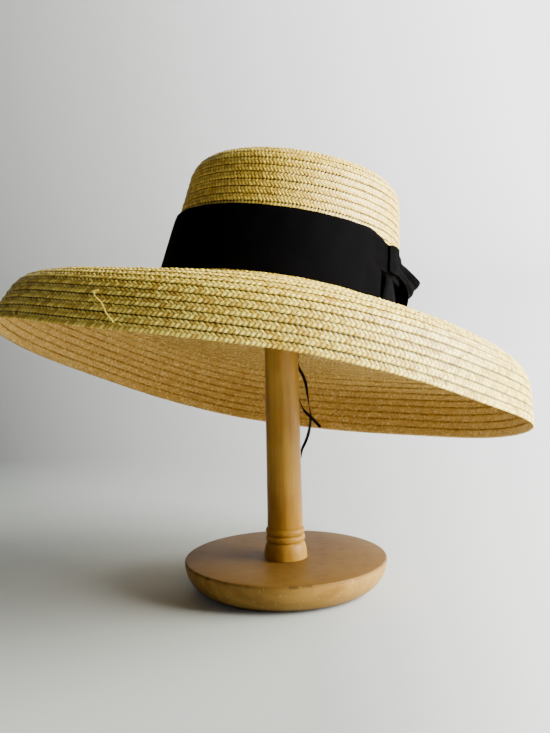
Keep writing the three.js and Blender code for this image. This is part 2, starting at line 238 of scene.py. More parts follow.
def arc(centre, radii, start, end, steps):
    """Points of [radius, height] along part of an ellipse, with the angles in degrees."""
    angles = np.radians(np.linspace(start, end, steps + 1))
    return [(centre[0] + radii[0] * math.cos(a), centre[1] + radii[1] * math.sin(a)) for a in angles]


def turned_mesh(name, profile, segments=96):
    """A closed shape turned round the post's line from a profile that starts and ends on it."""
    bm = bmesh.new()
    corners = [bm.verts.new((radius, 0, height)) for radius, height in profile]
    edges = [bm.edges.new(pair) for pair in zip(corners, corners[1:])]
    bmesh.ops.spin(
        bm, geom=corners + edges, cent=(0, 0, 0), axis=(0, 0, 1), dvec=(0, 0, 0),
        angle=2 * math.pi, steps=segments, use_merge=True, use_duplicate=False,
    )
    bmesh.ops.remove_doubles(bm, verts=bm.verts, dist=1e-6)
    bmesh.ops.recalc_face_normals(bm, faces=bm.faces)
    mesh = bpy.data.meshes.new(name)
    bm.to_mesh(mesh)
    bm.free()
    return mesh


def turned_wood(name, pale, honey, grain_scale, roughness, gloss):
    """Varnished wood: long grain, fine pores and faint lathe lines."""
    material, shader, add, join = new_material(name)
    shader.inputs["Specular IOR Level"].default_value = gloss
    place = add("ShaderNodeTexCoord").outputs["Object"]
    along_grain = add("ShaderNodeMapping", {"Vector": place, "Scale": grain_scale}).outputs["Vector"]
    grain = add("ShaderNodeTexNoise", {"Vector": along_grain, "Scale": 1.0, "Detail": 6.0, "Roughness": 0.6})
    broad = add("ShaderNodeTexNoise", {"Vector": place, "Scale": 22.0, "Detail": 3.0})
    pores = add("ShaderNodeTexNoise", {"Vector": along_grain, "Scale": 4.5, "Detail": 2.0})
    both = add("ShaderNodeMath", {0: grain.outputs["Fac"], 1: broad.outputs["Fac"]}, operation="ADD")
    spread = add("ShaderNodeMapRange", {0: both.outputs[0], 1: 0.8, 2: 1.25})
    colour = add("ShaderNodeMix", {0: spread.outputs[0], 6: (*honey, 1), 7: (*pale, 1)}, data_type="RGBA")
    dark_pores = add("ShaderNodeMapRange", {0: pores.outputs["Fac"], 1: 0.3, 2: 0.45, 3: 0.86, 4: 1.0})
    pored = add(
        "ShaderNodeMix", {0: 1.0, 6: colour.outputs[2], 7: dark_pores.outputs[0]},
        data_type="RGBA", blend_type="MULTIPLY",
    )
    rough = add("ShaderNodeMapRange", {0: pores.outputs["Fac"], 3: roughness + 0.1, 4: roughness - 0.06})
    join(rough.outputs[0], "Roughness")
    lathe_lines = add("ShaderNodeTexWave", {"Vector": place, "Scale": 260.0, "Distortion": 1.2}, bands_direction="Z")
    relief = add("ShaderNodeMath", {0: lathe_lines.outputs["Fac"], 1: 0.25, 2: pores.outputs["Fac"]},
                 operation="MULTIPLY_ADD")
    bump = add("ShaderNodeBump", {"Height": relief.outputs[0], "Strength": 0.25, "Distance": 0.0003})
    join(bump.outputs["Normal"], "Normal")
    return material, add, join, pored.outputs[2], place


def base_wood():
    """The base's wood: its top is darker with rubbed patches, its side scratched, and a thin dark line
    runs all along its top edge, darker still at the nicks.
    """
    material, add, join, side_colour, place = turned_wood(
        "base_wood", base_side_pale, base_side_honey, (14.0, 160.0, 120.0), 0.48, 0.09
    )
    height = add("ShaderNodeSeparateXYZ", {0: place}).outputs["Z"]
    is_top = add("ShaderNodeMapRange", {0: height, 1: base_thickness - 0.0012, 2: base_thickness - 0.0002})
    rubbed = add("ShaderNodeTexNoise", {"Vector": place, "Scale": 45.0, "Detail": 5.0, "Roughness": 0.7})
    patch = add("ShaderNodeMapRange", {0: rubbed.outputs["Fac"], 1: 0.35, 2: 0.7})
    top_colour = add("ShaderNodeMix", {0: patch.outputs[0], 6: (*base_top_brown, 1), 7: (*base_top_light, 1)},
                     data_type="RGBA")
    two_tone = add("ShaderNodeMix", {0: is_top.outputs[0], 6: side_colour, 7: top_colour.outputs[2]},
                   data_type="RGBA")
    scratch_place = add("ShaderNodeMapping", {"Vector": place, "Scale": (760.0, 760.0, 36.0),
                                              "Rotation": (0.0, 0.9, 0.0)}).outputs["Vector"]
    scratches = add("ShaderNodeTexNoise", {"Vector": scratch_place, "Scale": 1.0, "Detail": 1.0})
    scratch = add("ShaderNodeMapRange", {0: scratches.outputs["Fac"], 1: 0.69, 2: 0.76, 4: 0.5})
    on_side = add("ShaderNodeMapRange", {0: height, 1: base_thickness - 0.0002, 2: base_thickness - 0.0012})
    side_scratch = add("ShaderNodeMath", {0: scratch.outputs[0], 1: on_side.outputs[0]}, operation="MULTIPLY")
    worn = add("ShaderNodeMix", {0: side_scratch.outputs[0], 6: two_tone.outputs[2], 7: (*scratch_pale, 1)},
               data_type="RGBA")
    # A thin dark line runs all along the top edge, darker still at the nicks.
    from_edge = add("ShaderNodeMath", {0: height, 1: base_thickness - 0.0010}, operation="SUBTRACT")
    off_edge = add("ShaderNodeMath", {0: from_edge.outputs[0]}, operation="ABSOLUTE")
    at_edge = add("ShaderNodeMapRange", {0: off_edge.outputs[0], 1: 0.0016, 2: 0.0006})
    nicks = add("ShaderNodeTexNoise", {"Vector": place, "Scale": 130.0, "Detail": 2.0})
    edge_darkness = add("ShaderNodeMapRange", {0: nicks.outputs["Fac"], 1: 0.56, 2: 0.66, 3: 0.4, 4: 0.85})
    edge_dark_share = add("ShaderNodeMath", {0: edge_darkness.outputs[0], 1: at_edge.outputs[0]}, operation="MULTIPLY")
    worn = add("ShaderNodeMix", {0: edge_dark_share.outputs[0], 6: worn.outputs[2], 7: (*edge_dark, 1)},
               data_type="RGBA")
    join(worn.outputs[2], "Base Color")
    return material


base_side_height = base_thickness - base_edge_round
base_profile = [(0, 0)]
base_profile += arc((base_foot_radius, base_side_height), (base_radius - base_foot_radius, base_side_height), -90, 0, 28)
base_profile += arc((base_radius - base_edge_round, base_side_height), (base_edge_round, base_edge_round), 10, 90, 5)
base_profile += [(base_radius * 0.66, base_thickness), (base_radius * 0.3, base_thickness), (0, base_thickness)]
base = link_piece("turned_base", turned_mesh("turned_base", base_profile), base_wood(), 35)
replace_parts(base, "stand_base")

post_foot = base_thickness + seat_gap
shaft_foot = post_foot + bell_height + 2 * ring_height
post_profile = [(0, post_foot)]
post_profile += arc((neck_radius, post_foot), (bell_radius - neck_radius, bell_height), 0, 90, 14)
for ring in range(2):
    ring_middle = post_foot + bell_height + (ring + 0.5) * ring_height
    post_profile += arc((neck_radius, ring_middle), (ring_radius - neck_radius, ring_height / 2), -88, 88, 12)
post_profile += [(post_radius_low - 0.0002, shaft_foot + 0.0006)]
post_profile += [
    (post_radius_low + (post_radius_high - post_radius_low) * share, shaft_foot + 0.0012
     + (post_top - shaft_foot - 0.0012) * share)
    for share in np.linspace(0, 1, 9)
]
post_profile += [(0, post_top)]
post_wood, _, post_join, post_colour, _ = turned_wood("post_wood", post_pale, post_honey, (210.0, 210.0, 9.0), 0.38, 0.13)
post_join(post_colour, "Base Color")
post = link_piece("turned_post", turned_mesh("turned_post", post_profile, 64), post_wood, 35)
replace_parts(post, "stand_post")

head_centre = head_underside + head_skirt
head_profile = [(0, head_underside)]
head_profile += arc(
    (head_radius - head_edge_round, head_underside + head_edge_round), (head_edge_round, head_edge_round), -90, 0, 8
)
head_profile += arc((0, head_centre), (head_radius, head_radius), 0, 90, 24)
head_profile[-1] = (0, head_centre + head_radius)
head = link_piece("turned_head", turned_mesh("turned_head", head_profile), post_wood, 35)
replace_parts(head, "stand_head")

# Crown
# A boater crown: a leaning wall, a rolled edge and a flat top, sewn round and round from one strip of
# wheat-straw plait, each row lapped over the next one out. The rows under the band are plain.
crown_half_width = 0.0867
crown_half_length = 0.0987
crown_height = 0.0935
crown_taper = 0.0122
crown_roll = 0.0184
crown_row_pitch = 0.0055
hat_place = Matrix.Translation((-0.0007, 0.0045, 0.2158))
hat_lean = Matrix.Rotation(math.radians(10.4), 4, "Y") @ Matrix.Rotation(math.radians(-18.3), 4, "X")
band_height = 0.0463
crown_straw_pitch = 0.0031
plait_lap = 0.0013
plait_thickness = 0.0011
plait_middle = 0.62
straw_relief = 0.0009
straw_tilt = 0.0005
crown_slant = 0.8
brim_slant = 0.75
straw_pale = (0.93, 0.735, 0.115)
straw_gold = (0.63, 0.415, 0.040)
straw_dark_gold = (0.45, 0.275, 0.025)
straw_green = (0.45, 0.355, 0.06)
straw_brown = (0.26, 0.13, 0.016)
# The underside colours are painted shade: a darker warm brown for the shade under the brim and the light through the
# straw, with darker streaks and pale specks in it.
underside_painted_shade = (0.58, 0.335, 0.072)
straw_streak = (0.36, 0.18, 0.025)
straw_speck = (0.78, 0.56, 0.20)
# Painted shade for the crossings, the grooves between straws and the crease under each lapped row.
seam_shadow = (0.04, 0.025, 0.004)

wall_lean = math.atan2(crown_taper, crown_height)
roll_turn = math.pi / 2 - wall_lean
roll_run = crown_roll * math.tan(roll_turn / 2)
wall_run = math.hypot(crown_taper, crown_height) - roll_run
roll_length = crown_roll * roll_turn
roll_centre = crown_half_width - crown_taper - roll_run
hat_matrix = np.array(hat_place @ hat_lean)


def hat_point(turn, reach, height):
    """A point of the hat. Inside the crown's base its oval shrinks in proportion, and outside it grows
    by the same distance all round. Turn 0 is the wearer's left side and a quarter turn is behind."""
    across, along = crown_half_width * np.cos(turn), crown_half_length * np.sin(turn)
    size = np.hypot(across, along)
    inside = np.minimum(reach / crown_half_width, 1)
    outside = np.maximum(reach - crown_half_width, 0)
    return np.stack(
        [
            crown_half_width * across / size * inside + outside * np.cos(turn),
            crown_half_length * along / size * inside + outside * np.sin(turn),
            height + 0 * turn,
        ],
        axis=-1,
    )


def in_place(points):
    """Points of the hat, moved from its own place to where it sits on the stand."""
    return points @ hat_matrix[:3, :3].T + hat_matrix[:3, 3]


def crown_point(turn, along, out):
    """A point that far up the crown's outline from its base, and that far out from it."""
    angle = np.clip(wall_lean + (along - wall_run) / crown_roll, wall_lean, math.pi / 2)
    on_top = np.maximum(along - wall_run - roll_length, 0)
    on_wall = np.minimum(along, wall_run)
    wall_reach = crown_half_width - on_wall * math.sin(wall_lean) + out * math.cos(wall_lean)
    wall_height = on_wall * math.cos(wall_lean) + out * math.sin(wall_lean)
    roll_reach = roll_centre - on_top + (crown_roll + out) * np.cos(angle)
    roll_height = crown_height - crown_roll + (crown_roll + out) * np.sin(angle)
    above = along > wall_run
    return hat_point(turn, np.where(above, roll_reach, wall_reach), np.where(above, roll_height, wall_height))


def sewn_rows(name, rows, surface, columns, upper_sides, slant, seed):
    """Closed strips of plait, one for each row. A row is the place along the surface of its outer edge,
    its width and its number of straws. Each is a grid whose columns follow the slanting straws and
    whose last line comes back to the first round the underside."""
    random = np.random.default_rng(seed)
    face_sides = upper_sides + under_sides
    sides = np.array(face_sides + [face_sides[0]])
    lines = len(face_sides)
    row_gap = 2.0 * lines
    bm = bmesh.new()
    for index, (_, _, straws) in enumerate(rows):
        segments = straws * columns
        place = Matrix.Translation((segments / 2, index * row_gap + lines / 2, 0))
        flat = Matrix.Diagonal((segments / 2, lines / 2, 1, 1))
        bmesh.ops.create_grid(bm, x_segments=segments, y_segments=lines, size=1, matrix=place @ flat)
    mesh = bpy.data.meshes.new(name)
    bm.to_mesh(mesh)
    bm.free()

    flat = np.empty(len(mesh.vertices) * 3)
    mesh.vertices.foreach_get("co", flat)
    flat = flat.reshape(-1, 3)
    column = np.rint(flat[:, 0]).astype(int)
    row = (flat[:, 1] / row_gap + 0.01).astype(int)
    line = np.rint(flat[:, 1] - row * row_gap).astype(int)
    outer, width, straws = (np.array(values)[row] for values in zip(*rows))
    share, facing, seam_painted_light = sides[line].T
    reach_of_half = np.where(share > plait_middle, 1 - plait_middle, plait_middle)
    from_middle = np.abs(share - plait_middle) / reach_of_half

    most = max(straws_in for _, _, straws_in in rows)
    arm_heights = random.uniform(0.7, 1.2, (len(rows), most + 1, 2))
    arm_tilts = random.uniform(-1, 1, (len(rows), most + 1, 2))
    half = (share >= plait_middle).astype(int)
    shifted = column + half * (columns // 2)
    straw = (shifted // columns) % straws.astype(int)
    across = (shifted % columns) / columns
    swell = np.sin(math.pi * np.clip(across * 0.92 + 0.08 * (across > 0), 0, 1)) ** 0.7
    crossing = np.where(from_middle < 0.05, 0.3, 1.0) * np.where(from_middle > 0.95, 0.3, 1.0)
    tilt = straw_tilt * (across - 0.5) * arm_tilts[row, straw, half] * (across > 0)
    relief = (straw_relief * swell * arm_heights[row, straw, half] + tilt) * crossing
    lap = (share - 0.5) * 2 * plait_lap * 0.32
    body = plait_thickness / 2 * (1 - 0.45 * from_middle**3)
    out = lap + facing * (body + relief * np.where(facing > 0, 1.0, 0.7)) - facing * straw_relief * 0.45

    phase = random.uniform(0, 2 * math.pi, len(rows))[row]
    wander = random.uniform(-1, 1, len(rows))[row]
    turn_in_straws = column / columns + slant * 2 * np.abs(share - plait_middle)
    turn = phase + 2 * math.pi * turn_in_straws / straws
    uneven = 0.00012 * np.sin(3 * turn + 9 * wander) + 0.00008 * np.sin(11 * turn + 5 * wander)
    scallop = np.where(from_middle > 0.95, (share - 0.5) * 0.0006 * swell, 0)
    along_out = outer - width * (1 - share) + uneven + scallop
    points = in_place(surface(turn, along_out, out))
    mesh.vertices.foreach_set("co", points.astype(np.float32).ravel())

    corner_vertex = np.empty(len(mesh.loops), int)
    mesh.loops.foreach_get("vertex_index", corner_vertex)
    face_corner = corner_vertex.reshape(-1, 4)
    face_line = line[face_corner].min(axis=1)
    face_column = column[face_corner].min(axis=1)
    face_row = row[face_corner[:, 0]]
    face_share = (sides[face_line, 0] + sides[face_line + 1, 0]) / 2
    face_half = (face_share > plait_middle).astype(int)
    face_straws = straws[face_corner[:, 0]].astype(int)
    face_straw = ((face_column + face_half * (columns // 2)) // columns) % face_straws
    tones = random.uniform(0, 1, (len(rows), most + 1, 2, 2))
    tone = tones[face_row, face_straw, face_half]
    # Painted light of each corner: low in the grooves between straws and where the sides table says, and less deep on
    # the underside.
    painted_light = np.where(facing > 0, 0.3 + 0.7 * swell, 0.7 + 0.3 * swell) * seam_painted_light
    corner_painted_light = np.clip(painted_light, 0, 1)[corner_vertex][:, None]
    upper = np.repeat(face_line < len(upper_sides), 4)[:, None]
    colours = np.concatenate([np.repeat(tone, 4, axis=0), corner_painted_light, upper], axis=1)
    attribute = mesh.color_attributes.new(name="straw", type="FLOAT_COLOR", domain="CORNER")
    attribute.data.foreach_set("color", colours.astype(np.float32).ravel())
    along_straw = from_middle[corner_vertex] + 2 * np.repeat(face_half, 4)
    corner_column = column[corner_vertex] + np.repeat(face_half, 4) * (columns // 2)
    layer = mesh.uv_layers.new(name="straws")
    layer.uv.foreach_set(
        "vector", np.stack([corner_column / columns, along_straw], axis=1).astype(np.float32).ravel()
    )

    bm = bmesh.new()
    bm.from_mesh(mesh)
    bmesh.ops.remove_doubles(bm, verts=bm.verts, dist=2e-6)
    bm.to_mesh(mesh)
    bm.free()
    return mesh


def straw_material(name, least_gold, most_gold):
    """Split wheat straw: each straw has its own tone, with fine fibres along it, and patches of it are aged to gold
    by a share between the two given. The crossings, the grooves between straws and the seams are darkened with
    painted shade, and the underside is painted a darker warm brown for shade and for light through the straw."""
    material, shader, add, join = new_material(name)
    shader.inputs["Specular IOR Level"].default_value = 0.4
    straw = add("ShaderNodeAttribute", attribute_name="straw")
    parts = add("ShaderNodeSeparateColor", {0: straw.outputs["Color"]})
    tone, tint, depth = parts.outputs
    place = add("ShaderNodeTexCoord").outputs["Object"]
    fibre_place = add("ShaderNodeUVMap", uv_map="straws").outputs["UV"]
    fibre_scale = add("ShaderNodeMapping", {"Vector": fibre_place, "Scale": (14.0, 1.2, 1.0)}).outputs["Vector"]
    fibres = add("ShaderNodeTexNoise", {"Vector": fibre_scale, "Scale": 1.0, "Detail": 2.0})
    patches = add("ShaderNodeTexNoise", {"Vector": place, "Scale": 28.0, "Detail": 3.0})
    gold = add("ShaderNodeValToRGB", {"Fac": tone})
    ramp_colours(gold, ((0.0, straw_dark_gold), (0.25, straw_gold), (0.7, straw_pale)))
    is_green = add("ShaderNodeMapRange", {0: tint, 1: 0.80, 2: 0.98, 4: 0.3})
    greened = add("ShaderNodeMix", {0: is_green.outputs[0], 6: gold.outputs["Color"], 7: (*straw_green, 1)},
                  data_type="RGBA")
    is_brown = add("ShaderNodeMapRange", {0: tint, 1: 0.07, 2: 0.02, 4: 0.35})
    browned = add("ShaderNodeMix", {0: is_brown.outputs[0], 6: greened.outputs[2], 7: (*straw_brown, 1)},
                  data_type="RGBA")
    weathered = add("ShaderNodeMapRange", {0: patches.outputs["Fac"], 1: 0.35, 2: 0.75,
                                           3: least_gold, 4: most_gold})
    aged = add("ShaderNodeMix", {0: weathered.outputs[0], 6: browned.outputs[2], 7: (*straw_gold, 1)},
               data_type="RGBA")
    speckle = add("ShaderNodeTexNoise", {"Vector": place, "Scale": 520.0, "Detail": 2.0})
    speck = add("ShaderNodeMapRange", {0: speckle.outputs["Fac"], 1: 0.52, 2: 0.68, 4: 0.8})
    streak_place = add("ShaderNodeMapping", {"Vector": fibre_place, "Scale": (0.45, 3.0, 1.0)}).outputs["Vector"]
    streaks = add("ShaderNodeTexNoise", {"Vector": streak_place, "Scale": 1.0, "Detail": 3.0, "Roughness": 0.7})
    streak = add("ShaderNodeMapRange", {0: streaks.outputs["Fac"], 1: 0.36, 2: 0.62})
    # The underside is painted in shade: a darker warm brown with streaks and specks.
    shaded_underside = add("ShaderNodeMix", {0: streak.outputs[0], 6: (*straw_streak, 1), 7: (*underside_painted_shade, 1)},
                data_type="RGBA")
    shaded_underside = add("ShaderNodeMix", {0: speck.outputs[0], 6: shaded_underside.outputs[2], 7: (*straw_speck, 1)},
                data_type="RGBA")
    below = add("ShaderNodeMapRange", {0: straw.outputs["Alpha"], 3: 0.85, 4: 0.0})
    aged = add("ShaderNodeMix", {0: below.outputs[0], 6: aged.outputs[2], 7: shaded_underside.outputs[2]},
               data_type="RGBA")
    # The blue of the straw attribute is painted light. Where it is low, the straw takes the painted seam_shadow.
    painted_shade_share = add("ShaderNodeMapRange", {0: depth, 1: 0.68, 2: 0.1, 4: 0.95})
    seam_shaded = add("ShaderNodeMix", {0: painted_shade_share.outputs[0], 6: aged.outputs[2], 7: (*seam_shadow, 1)},
                 data_type="RGBA")
    streaked = add("ShaderNodeMapRange", {0: fibres.outputs["Fac"], 1: 0.3, 2: 0.7, 3: 0.86, 4: 1.08})
    final = add("ShaderNodeMix", {0: 1.0, 6: seam_shaded.outputs[2], 7: streaked.outputs[0]},
                data_type="RGBA", blend_type="MULTIPLY")
    join(final.outputs[2], "Base Color")
    gloss = add("ShaderNodeMapRange", {0: tint, 3: 0.22, 4: 0.42})
    rough = add("ShaderNodeMix", {0: straw.outputs["Alpha"], 2: 0.75, 3: gloss.outputs[0]}, data_type="FLOAT")
    join(rough.outputs[0], "Roughness")
    bump = add("ShaderNodeBump", {"Height": fibres.outputs["Fac"], "Strength": 0.35, "Distance": 0.0002})
    join(bump.outputs["Normal"], "Normal")
    return material


fine_sides = [  # share of the width, side, painted light there: 1 is lit, 0 is the painted shade of the crease
    (0.0, 1, 0.9), (0.27, 1, 0.0), (0.42, 1, 1.0), (plait_middle, 1, 0.6), (0.84, 1, 1.0), (0.95, 1, 0.9),
]
plain_sides = [(0.0, 1, 0.6), (0.25, 1, 0.6), (plait_middle, 1, 0.8), (0.85, 1, 1.0)]
under_sides = [(1.0, -1, 0.8), (0.8, -1, 1.0), (plait_middle, -1, 0.9), (0.28, -1, 1.0)]
straw = straw_material("wheat_straw", 0.0, 0.35)
crown_straw = straw_material("golden_wheat_straw", 0.4, 0.7)

first_seam = band_height + 0.0038
plain_up_to = band_height - 0.010
outline_length = wall_run + roll_length + roll_centre
shown_rows = []
top_rows = []
plain_rows = []
row_count = int((outline_length - first_seam) / crown_row_pitch)
for row_index in range(-int(first_seam / crown_row_pitch) - 1, row_count + 1):
    outer_edge = first_seam + row_index * crown_row_pitch
    if outer_edge < -0.001:
        continue
    inner_edge = outer_edge + crown_row_pitch + plait_lap
    middle_reach = crown_point(np.zeros(1), np.array([outer_edge + crown_row_pitch / 2]), 0.0)[0, 0]
    circumference = math.pi * middle_reach * (1 + crown_half_length / crown_half_width)
    straws_round = max(5, round(circumference / crown_straw_pitch))
    row_values = (outer_edge, inner_edge - outer_edge, straws_round)
    if inner_edge < plain_up_to:
        plain_rows.append(row_values)
    elif outer_edge < wall_run:
        shown_rows.append(row_values)
    else:
        top_rows.append(row_values)


def crown_surface(turn, along_out, out):
    """Along_out runs outwards over the crown; here it is minus the distance up from its base."""
    return crown_point(turn, np.minimum(-along_out, outline_length), out - plait_thickness / 2)


def upwards(rows):
    """The same rows for a surface whose along_out is minus the distance up from the crown's base."""
    return [(-outer, width, straws) for outer, width, straws in rows]


crown_parts = []
for name, rows, columns, upper_sides, seed in (
    ("crown_plait", shown_rows, 4, fine_sides, 11),
    ("crown_top_plait", top_rows, 4, fine_sides, 13),
    ("crown_foot", plain_rows, 2, plain_sides, 12),
):
    mesh = sewn_rows(name, upwards(rows), crown_surface, columns, upper_sides, crown_slant, seed)
    crown_parts.append(link_piece(name, mesh, crown_straw))
    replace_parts(crown_parts[-1], "crown")

# Brim
# A wide brim sewn on from the same plait, flaring out and then turning steeply down at the rim. It
# droops most over the wearer's brow and neck, and its underside shows the same rows.
brim_length = 0.140
brim_rows = 25
brim_profile = ((0.0, 33), (0.3, 10), (0.55, 4), (0.7, 39), (0.83, 82), (1.0, 89))  # share, slope
brim_droop = (  # turn, degrees added at the crown, degrees added at the rim
    (0, 10, -12), (45, 3, -5), (90, -9, 21), (135, -6, -1),
    (180, 5, -23), (225, 3, -4), (270, -6, 14), (315, 0, 9),
)
brim_straw_pitch = 0.0038
brim_splits = (8, 14, 20)


def between(rows, at):
    """Smooth value between the rows of a table of positions and values, without overshoot."""
    x, y = np.array(rows, float).T
    rise = np.diff(y) / np.diff(x)
    middle = [0 if a * b <= 0 else 2 * a * b / (a + b) for a, b in zip(rise, rise[1:])]
    tangent = np.array([rise[0], *middle, rise[-1]])
    i = np.clip(np.searchsorted(x, at) - 1, 0, len(x) - 2)
    step = x[i + 1] - x[i]
    u = (at - x[i]) / step
    start = (1 + 2 * u) * (1 - u) ** 2 * y[i] + u * (1 - u) ** 2 * step * tangent[i]
    return start + u * u * (3 - 2 * u) * y[i + 1] - u * u * (1 - u) * step * tangent[i + 1]


def around_hat(column, degrees):
    """The same for a column of the brim's table of directions, which closes on itself."""
    rows = [(row[0], row[column]) for row in brim_droop]
    wrapped = [(rows[-1][0] - 360, rows[-1][1]), *rows]
    wrapped += [(rows[0][0] + 360, rows[0][1]), (rows[1][0] + 360, rows[1][1])]
    return between(wrapped, degrees)


walk_turns = 720
walk_steps = 280
degrees = np.arange(walk_turns) * 360 / walk_turns
shares = np.linspace(0, 1, walk_steps + 1)
droop = around_hat(1, degrees)[:, None] * (1 - shares) + around_hat(2, degrees)[:, None] * shares
slope = np.radians(between(brim_profile, shares) + droop)
middle_slope = (slope[:, 1:] + slope[:, :-1]) / 2
walk_step = brim_length / walk_steps
start_column = np.zeros((walk_turns, 1))
walk_reach = crown_half_width + walk_step * np.cumsum(np.hstack([start_column, np.cos(middle_slope)]), axis=1)
walk_height = -seat_gap - walk_step * np.cumsum(np.hstack([start_column, np.sin(middle_slope)]), axis=1)


def on_walk(table, turn, along):
    """A value of the brim's table of turns and steps, between its entries."""
    a = (turn / (2 * math.pi) % 1) * walk_turns
    b = np.clip(along / walk_step, 0, walk_steps - 1e-6)
    i, j = a.astype(int) % walk_turns, b.astype(int)
    fa, fb = a - np.floor(a), b - j
    k = (i + 1) % walk_turns
    near = table[i, j] * (1 - fb) + table[i, j + 1] * fb
    far = table[k, j] * (1 - fb) + table[k, j + 1] * fb
    return near * (1 - fa) + far * fa


def brim_surface(turn, along, out):
    """A point that far out along the brim's upper side, and that far off it."""
    reach = on_walk(walk_reach, turn, along)
    height = on_walk(walk_height, turn, along)
    steep = on_walk(slope, turn, along)
    past = np.maximum(along - brim_length, 0)
    return hat_point(
        turn, reach + past * np.cos(steep) + out * np.sin(steep), height - past * np.sin(steep) + out * np.cos(steep)
    )


def brim_inside(turn, along, out):
    """The brim's surface for strips whose middle lies half a wall under its upper side."""
    return brim_surface(turn, along, out - plait_thickness)


brim_pitch = brim_length / brim_rows
all_brim_rows = []
for row_index in range(brim_rows):
    outer_edge = (row_index + 1) * brim_pitch
    width = brim_pitch + (plait_lap if row_index else 0)
    row_turns = np.radians(degrees)
    ring = brim_surface(row_turns, np.full(walk_turns, outer_edge - brim_pitch / 2), 0.0)
    circumference = np.linalg.norm(ring - np.roll(ring, 1, axis=0), axis=1).sum()
    all_brim_rows.append((outer_edge, width, round(circumference / brim_straw_pitch)))
brim_edges = (0, *brim_splits, brim_rows)
brim_names = ("brim_plait_inner", "brim_plait_middle", "brim_plait_outer", "brim_plait_rim")
for seed, (name, first, last) in enumerate(zip(brim_names, brim_edges, brim_edges[1:]), start=21):
    mesh = sewn_rows(name, all_brim_rows[first:last], brim_inside, 4, fine_sides, -brim_slant, seed)
    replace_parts(link_piece(name, mesh, straw), "brim")

stray_straw_route = (  # turn in degrees, distance out along the brim in millimetres, height off it
    (229.8, 115.7, 0.6), (229.1, 117.2, 1.6), (229.8, 120.4, 2.2), (231.7, 124.3, 2.0), (233.4, 130.5, 2.2),
    (235.2, 135.8, 1.0),
)
stray_turn, stray_along, stray_off = np.array(stray_straw_route).T
stray_line = in_place(brim_surface(np.radians(stray_turn), stray_along / 1000, stray_off / 1000))
stray_mesh = flat_strip("stray_straw", smooth_line(stray_line, 4), (0.0009, 0.0005), 0.4, 0.1)
stray_tone = stray_mesh.color_attributes.new(name="straw", type="FLOAT_COLOR", domain="CORNER")
stray_tone.data.foreach_set("color", np.tile((1.0, 0.5, 1.0, 1.0), len(stray_mesh.loops)).astype(np.float32))
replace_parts(link_piece("stray_straw", stray_mesh, straw), "brim")

# Band
# A wide black cotton ribbon drawn round the foot of the crown, woven plain and sewn at the bow. It
# bellies a little and ripples softly where it is eased round the lean of the crown.
band_thickness = 0.0012
band_belly = 0.0004
band_foot = -0.0017
band_black = (0.0012, 0.0011, 0.0013)
band_grey = (0.0017, 0.0016, 0.0019)
# Painted shade: the band and bow go near black deep in the upright fold, in the hollow under the loop and on the plies
# in the loop's shade.
painted_fold_shade = (0.0001, 0.0001, 0.0001)
thread_pitch = 0.00045
band_top = (  # turn in degrees, the top's height there as a share of the band's
    (-70, 1.0), (-48, 1.0), (-44, 0.98), (-40, 0.95), (-36, 0.91), (-32, 0.845), (-22, 0.82), (-8, 0.87),
    (12, 0.96), (35, 1.0),
)
fold_start = -50.0
fold_lip = -40.0
fold_far_side = -35.8
fold_lift = 0.0018
fold_top = 0.42
hollow_start = -29.5


def ribbon_material(name, gloss):
    """Plain-woven black cotton: fine crossing threads and soft lighter rubbing."""
    material, shader, add, join = new_material(name)
    shader.inputs["Specular IOR Level"].default_value = gloss
    shade = add("ShaderNodeAttribute", attribute_name="shade")
    threads = add("ShaderNodeUVMap", uv_map="weave").outputs["UV"]
    place = add("ShaderNodeTexCoord").outputs["Object"]
    scaled = add("ShaderNodeMapping", {"Vector": threads, "Scale": (1 / thread_pitch / 6.28, 1 / thread_pitch / 6.28, 1)})
    warp = add("ShaderNodeTexWave", {"Vector": scaled.outputs[0], "Scale": 1.0}, bands_direction="X")
    weft = add("ShaderNodeTexWave", {"Vector": scaled.outputs[0], "Scale": 1.0}, bands_direction="Y")
    weave = add("ShaderNodeMath", {0: warp.outputs["Fac"], 1: weft.outputs["Fac"]}, operation="MAXIMUM")
    rubbing = add("ShaderNodeTexNoise", {"Vector": place, "Scale": 60.0, "Detail": 4.0})
    worn = add("ShaderNodeMapRange", {0: rubbing.outputs["Fac"], 1: 0.4, 2: 0.75})
    colour = add("ShaderNodeMix", {0: worn.outputs[0], 6: (*band_black, 1), 7: (*band_grey, 1)}, data_type="RGBA")
    # The shade attribute paints shade, darkening the cloth towards painted_fold_shade.
    shaded = add("ShaderNodeMix", {0: shade.outputs["Fac"], 6: colour.outputs[2], 7: (*painted_fold_shade, 1)},
                 data_type="RGBA")
    join(shaded.outputs[2], "Base Color")
    rough = add("ShaderNodeMapRange", {0: rubbing.outputs["Fac"], 3: 0.75, 4: 0.9})
    join(rough.outputs[0], "Roughness")
    bump = add("ShaderNodeBump", {"Height": weave.outputs[0], "Strength": 0.4, "Distance": 0.0002})
    join(bump.outputs["Normal"], "Normal")
    return material


